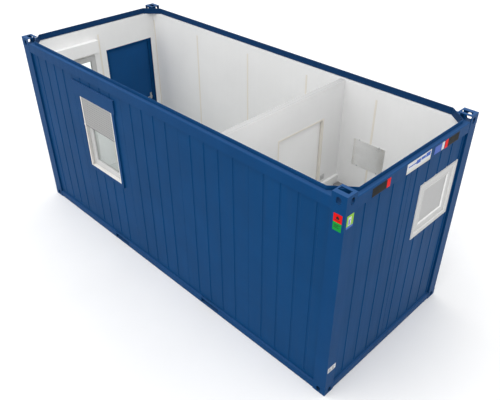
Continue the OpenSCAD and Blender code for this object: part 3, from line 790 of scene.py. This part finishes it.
def makeSmallWindow():
    low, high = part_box("small_window_frame")
    w, h = high.y - low.y, high.z - low.z
    middle = (low.y + high.y) / 2
    place = windowMatrix("right", middle, low.z)
    paneLow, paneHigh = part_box("small_window_pane")
    pw, pz0, pz1 = paneHigh.y - paneLow.y, paneLow.z - low.z, paneHigh.z - low.z
    ph = pz1 - pz0
    face, back = faceX - paneHigh.x, faceX - paneLow.x
    bm = bmesh.new()                             # sloped bead, its narrow sides given a painted highlight
    addRing(bm, pw + 0.044, ph + 0.044,
            [(0, 0.013), (0.0, 0.0075), (0.004, 0.006), (0.018, 0.008), (0.030, face - 0.003),
             (0.030, face - 0.0005), (0.0225, face - 0.0005), (0.0215, 0.013)], pz0 - 0.022)
    bead = pieceFrom(bm, "small_window_bead", frameGrey, place=place, bevel=0.0008)
    paintShadingOnFaces(bead.data, highlightProfile, lambda middle, facing: facing.x < 0.75)
    bm = bmesh.new()                             # seals each side of the glass
    addRing(bm, pw - 0.016, ph - 0.016,
            [(0, face - 0.0003), (0, face - 0.004), (0.003, face - 0.0025), (0.003, face - 0.0003)],
            pz0 + 0.008)
    addRing(bm, pw + 0.002, ph + 0.002,
            [(0, back + 0.0002), (0, back + 0.008), (0.010, back + 0.004), (0.010, back + 0.0002)],
            pz0 - 0.001)
    pieceFrom(bm, "small_window_seals", whiteProfile, place=place, bevel=0.0005)
    bm = bmesh.new()                             # rounded lip along the flange's outer edge
    addRing(bm, w - 0.002, h - 0.002,
            [(0, -0.0055), (0.001, -0.0085), (0.004, -0.010), (0.009, -0.0095), (0.013, -0.0055)], 0.001)
    pieceFrom(bm, "small_window_lip", frameGrey, place=place, bevel=0.0006)
    bm = bmesh.new()                             # fillers where the flange bridges the pressed grooves
    for k in range(5):
        x = cladding["endSecond"] + cladding["endPitch"] * k - middle
        if abs(x) < w / 2 - smallFlange:
            addBox(bm, (x - 0.018, -0.005, h - 0.003), (x + 0.018, 0.0068, h + 0.003))
    pieceFrom(bm, "small_window_fillers", whiteProfile, place=place, bevel=0.002)
    makeSashHandle("small_window", place, (w / 2 - 0.09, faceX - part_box("small_window_sash")[0].x, h / 2))
    bm = bmesh.new()
    for x in (-0.16, 0.16):
        addBox(bm, (x - 0.016, -0.0095, 0.018), (x + 0.016, -0.0055, 0.026))
    pieceFrom(bm, "small_window_drain_caps", whiteProfile, place=place, bevel=0.001)


makeCurtain()
makeLargeWindow("front_window", "front", frontWindowX)
makeLargeWindow("end_window", "left", -endWindowY)
makeSmallWindow()
print("windows fitted")


# labels and boxes on the near post and the end rail
def plate(bm, side, a0, a1, z0, z1, lift, thick):
    # flat plate on a post or on the end rail; a runs along +y on the right end, along +x on the front
    if side == "front":
        addBox(bm, (a0, -postY - lift - thick, z0), (a1, -postY - lift, z1))
    else:
        face = steelX if side == "rail" else postX
        addBox(bm, (face + lift, a0, z0), (face + lift + thick, a1, z1))


def labelPiece(name, finish, side, plates, lift=0.0, thick=0.001, bevel=0.0003):
    bm = bmesh.new()
    for a0, a1, z0, z1 in plates:
        plate(bm, side, a0, a1, z0, z1, lift, thick)
    return pieceFrom(bm, name, finish, bevel=bevel)


def barRows(a0, a1, z0, z1, rows, perRow):
    # plain bars in rows, in place of lettering
    bars = []
    rowHeight = (z1 - z0) / rows
    step = (a1 - a0) / perRow
    for r in range(rows):
        for k in range(perRow):
            short = 0.12 * step * ((r + k) % 3)
            bars.append((a0 + k * step, a0 + (k + 0.86) * step - short,
                         z0 + r * rowHeight, z0 + (r + 0.7) * rowHeight))
    return bars


# each label: finish, side and its plates as from, to along the wall, then foot and top
labels = {
    "post_label_red": (signalRed, "front", [(2.8925, 2.9925, 2.484, 2.580)]),
    "post_label_green": (signalGreen, "front", [(2.8925, 2.9925, 2.388, 2.4835)]),
    "end_label_green": (leafGreen, "right", [(-1.189, -1.084, 2.452, 2.578)]),
    "end_label_foot": (midBlue, "right", [(-1.189, -1.084, 2.427, 2.4515)]),
    "low_label": (labelWhite, "right", [(-1.202, -1.062, 0.389, 0.467)]),
    "rail_label": (labelWhite, "rail", [(-0.2175, 0.238, 2.622, 2.716)]),
    "rail_label_foot": (labelCream, "rail", [(-0.2175, 0.238, 2.593, 2.6215)]),
}
# printed on the labels, so they lie on top
prints = {
    "post_label_marks": (boxBlack, "front",
                         [(2.925, 2.960, 2.520, 2.545), (2.935, 2.950, 2.545, 2.556),
                          (2.912, 2.973, 2.505, 2.510), (2.905, 2.975, 2.452, 2.457),
                          (2.905, 2.955, 2.437, 2.442), (2.905, 2.968, 2.422, 2.427)]),
    "low_label_bars": (casingGrey, "right", barRows(-1.19, -1.075, 0.40, 0.455, 3, 2)),
    "rail_label_bars": (printBlue, "rail",
                        [(-0.190, -0.030, 2.662, 2.676), (-0.045, 0.035, 2.648, 2.694),
                         (0.045, 0.130, 2.660, 2.694), (0.138, 0.222, 2.656, 2.704)]),
}
labelSizes = {"thick": 0.001, "print": 0.0003, "panel": 0.0002}


def makeLabels():
    thick, panel = labelSizes["thick"], labelSizes["panel"]
    for name, (finish, side, plates) in labels.items():
        labelPiece(name, finish, side, plates, thick=thick)
    for name, (finish, side, plates) in prints.items():
        labelPiece(name, finish, side, plates, lift=thick, thick=labelSizes["print"], bevel=0)
    labelPiece("end_label_panel", labelWhite, "right", [(-1.165, -1.120, 2.462, 2.555)],
               lift=thick, thick=panel)
    labelPiece("end_label_bars", printBlue, "right", barRows(-1.160, -1.125, 2.470, 2.530, 4, 1),
               lift=thick + panel, thick=panel, bevel=0)


boxes = {
    "left_box": {"cover": (-0.811, -0.573), "cap": (-0.569, -0.511)},
    "right_box": {"cover": (0.594, 0.827), "cap": (0.5225, 0.587)},
    "foot": 2.604, "top": 2.704,
    "coverThick": 0.0022, "flapThick": 0.0005, "capThick": 0.0027,
    "margin": 0.012,          # round the two flaps of a cover
    "blockFoot": 2.611,
}


def makeConnectionBoxes():
    # flush boxes let into the end rail: black covers with a red cap beside each
    z0, z1, margin, thick = boxes["foot"], boxes["top"], boxes["margin"], boxes["coverThick"]
    for name in ("left_box", "right_box"):
        y0, y1 = boxes[name]["cover"]
        bm = bmesh.new()
        plate(bm, "rail", y0, y1, z0, z1, 0, thick)
        pieceFrom(bm, name + "_cover", boxBlack, bevel=0.001)
        bm = bmesh.new()
        for k in range(2):
            a = y0 + margin + k * (y1 - y0 - margin) / 2
            plate(bm, "rail", a, a + (y1 - y0 - 3 * margin) / 2, z0 + margin, z1 - margin,
                  thick, boxes["flapThick"])
        pieceFrom(bm, name + "_flaps", blackRubber, bevel=0.0003)
        bm = bmesh.new()
        plate(bm, "rail", *boxes[name]["cap"], z0, z1, 0, boxes["capThick"])
        pieceFrom(bm, name + "_cap", signalRed, bevel=0.001)
    foot = boxes["blockFoot"]
    labelPiece("rail_block_blue", midBlue, "rail", [(0.311, 0.454, foot, z1)], thick=0.002, bevel=0.0005)
    labelPiece("rail_block_white", labelWhite, "rail", [(0.460, 0.511, foot, z1)], thick=0.002, bevel=0.0005)


makeLabels()
makeConnectionBoxes()
print("labels and boxes placed")


# small room fittings
fittings = {
    "clipIn": 0.09,           # from the mirror's sides to its clips
    "clipHalf": 0.010,
    "switchFrom": 0.745, "switchFoot": 1.29, "switchSize": 0.080, "rockerIn": 0.012,
    "doorMargin": 0.012,      # of the cabinet
    "lockIn": 0.035, "lockRadius": 0.010,
}


def makeRoomFittings():
    f = fittings
    low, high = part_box("wall_mirror")
    half = f["clipHalf"]
    bm = bmesh.new()                             # mirror clips
    for x in (low.x + f["clipIn"], high.x - f["clipIn"]):
        for z, s in ((low.z, -1), (high.z, 1)):
            z0, z1 = sorted((z - s * 0.010, z + s * 0.006))
            addBox(bm, (x - half, low.y - 0.002, z0), (x + half, innerY, z1))
    pieceFrom(bm, "mirror_clips", satinSteel, bevel=0.001)
    y, z, size, rocker = f["switchFrom"], f["switchFoot"], f["switchSize"], f["rockerIn"]
    bm = bmesh.new()                             # light switch beside the inner door
    addBox(bm, (partRight, y, z), (partRight + 0.009, y + size, z + size))
    addBox(bm, (partRight + 0.008, y + rocker, z + rocker),
           (partRight + 0.013, y + size - rocker, z + size - rocker))
    pieceFrom(bm, "light_switch", whiteProfile, bevel=0.002)
    low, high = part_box("wall_cabinet")
    margin, lockX, lockZ = f["doorMargin"], high.x - f["lockIn"], (low.z + high.z) / 2
    bm = bmesh.new()                             # cabinet door and its lock
    addBox(bm, (low.x + margin, low.y - 0.004, low.z + margin),
           (high.x - margin, low.y + 0.001, high.z - margin))
    addRod(bm, (lockX, low.y - 0.003, lockZ), (lockX, low.y - 0.010, lockZ), f["lockRadius"])
    pieceFrom(bm, "cabinet_door", casingGrey, bevel=0.0015)


makeRoomFittings()
print("room fittings placed")


# doors
doorTrim = {
    "sides": 0.16, "ends": 0.20,                  # leaf left plain round the pressed panel
    "bead": ((0, 0.001), (0.003, -0.003), (0.012, -0.004), (0.021, -0.003), (0.024, 0.001)),
    "sealIn": 0.010,
    "seal": ((0, 0.0400), (0, 0.0445), (0.008, 0.0445), (0.008, 0.0400)),
}


def makeOuterDoorTrim():
    low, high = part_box("outer_door_leaf")
    w, h = high.y - low.y, high.z - low.z
    place = Matrix.Translation((low.x, (low.y + high.y) / 2, low.z))
    place = place @ Matrix.Rotation(math.radians(-90), 4, "Z")
    bm = bmesh.new()                             # shallow pressed panel outside
    addRing(bm, w - doorTrim["sides"], h - doorTrim["ends"], doorTrim["bead"], doorTrim["ends"] / 2)
    pieceFrom(bm, "outer_door_bead", doorBlue, body="outer_door", place=place, bevel=0.0008)
    inset = doorTrim["sealIn"]
    bm = bmesh.new()                             # seal between leaf and stop
    addRing(bm, w - 2 * inset, h - 2 * inset, doorTrim["seal"], inset)
    pieceFrom(bm, "outer_door_seal", blackRubber, body="outer_door", place=place, bevel=0.001)


makeOuterDoorTrim()
print("doors finished")


# under the floor: sides of the fork sleeves
sleeveSides = {"thick": 0.005, "endGap": 0.001, "footPlate": 0.0081, "topPlate": 0.0061}


def makeSleeveSides():
    points = [v.co for v in nodes["fork_sleeves"].data.vertices if v.co.x > 0]
    thick, end = sleeveSides["thick"], steelY - sleeveSides["endGap"]
    x0, x1 = min(p.x for p in points), max(p.x for p in points)
    z0 = min(p.z for p in points) + sleeveSides["footPlate"]
    z1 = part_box("floor_tray")[0].z - sleeveSides["topPlate"]
    bm = bmesh.new()
    for s in (-1, 1):
        for x, t in ((x0, thick), (x1, -thick)):
            a, b = sorted((s * x, s * (x + t)))
            addBox(bm, (a, -end, z0), (b, end, z1))
    pieceFrom(bm, "fork_sleeve_sides", bluePaint, bevel=0.0005)


makeSleeveSides()
print("underside finished")


# stage, light and camera
stage = {"floorHalf": 60, "dark": (0.93, 0.93, 0.93), "light": (0.96, 0.96, 0.96)}


def makeStage():
    bm = bmesh.new()
    bmesh.ops.create_grid(bm, x_segments=2, y_segments=2, size=stage["floorHalf"])
    mesh = bpy.data.meshes.new("floor")
    bm.to_mesh(mesh)
    bm.free()
    material, tree, shader, coord = startFinish("paleFloor")
    cloud = noiseOn(tree, coord, 1.5)
    colour = blendColours(tree, spread(tree, cloud, 0.0, 1.0), stage["dark"], stage["light"])
    tree.links.new(colour, shader.inputs["Base Color"])
    shader.inputs["Roughness"].default_value = 0.9
    shader.inputs["Specular IOR Level"].default_value = 0.1
    mesh.materials.append(material)
    floor = bpy.data.objects.new("floor", mesh)
    scene.collection.objects.link(floor)


lighting = {
    "sky": 0.98,
    "lamp": 1.10,             # broad soft light from above the long front
    "lampWidth": 70.0,        # degrees
    "lampDown": 64.0,         # degrees below level
    "lampTurn": -16.0,        # degrees round from the front, minus is towards the doors
    "fills": ((-1.7, -0.7, 1.2, 4.0), (2.1, -0.4, 0.8, 2.6)),   # x, y, width and power over the two rooms
    "fillHeight": 3.3,
}


def makeLight():
    world = bpy.data.worlds.new("studio")
    scene.world = world
    world.use_nodes = True
    back = world.node_tree.nodes["Background"]
    back.inputs["Color"].default_value = (1.0, 1.0, 1.0, 1.0)
    back.inputs["Strength"].default_value = lighting["sky"]
    lamp = bpy.data.lights.new("top_light", "SUN")
    lamp.energy = lighting["lamp"]
    lamp.angle = math.radians(lighting["lampWidth"])
    holder = bpy.data.objects.new("top_light", lamp)
    holder.rotation_euler = (math.radians(90 - lighting["lampDown"]), 0, math.radians(lighting["lampTurn"]))
    scene.collection.objects.link(holder)
    for x, y, width, power in lighting["fills"]:
        lamp = bpy.data.lights.new("fill_light", "AREA")
        lamp.energy = power
        lamp.size = width
        holder = bpy.data.objects.new("fill_light", lamp)
        holder.location = (x, y, lighting["fillHeight"])
        holder.visible_camera = False
        holder.visible_glossy = False
        scene.collection.objects.link(holder)
    scene.view_settings.view_transform = "Standard"


view = {
    "place": (5.376, -4.7916, 5.6649),
    "turn": 45.06,            # degrees round from looking along +y
    "down": 35.21,            # degrees below level
    "lens": 41.32,
    "shift": (0.00125, 0.0130),
}


def makeCamera():
    data = bpy.data.cameras.new("camera")
    data.sensor_width = 36.0
    data.lens = view["lens"]
    data.shift_x, data.shift_y = view["shift"]
    data.clip_end = 200
    camera = bpy.data.objects.new("camera", data)
    camera.location = view["place"]
    camera.rotation_euler = (math.radians(90 - view["down"]), 0, math.radians(view["turn"]))
    scene.collection.objects.link(camera)
    scene.camera = camera


makeStage()
makeLight()
makeCamera()
print("stage, light and camera set")
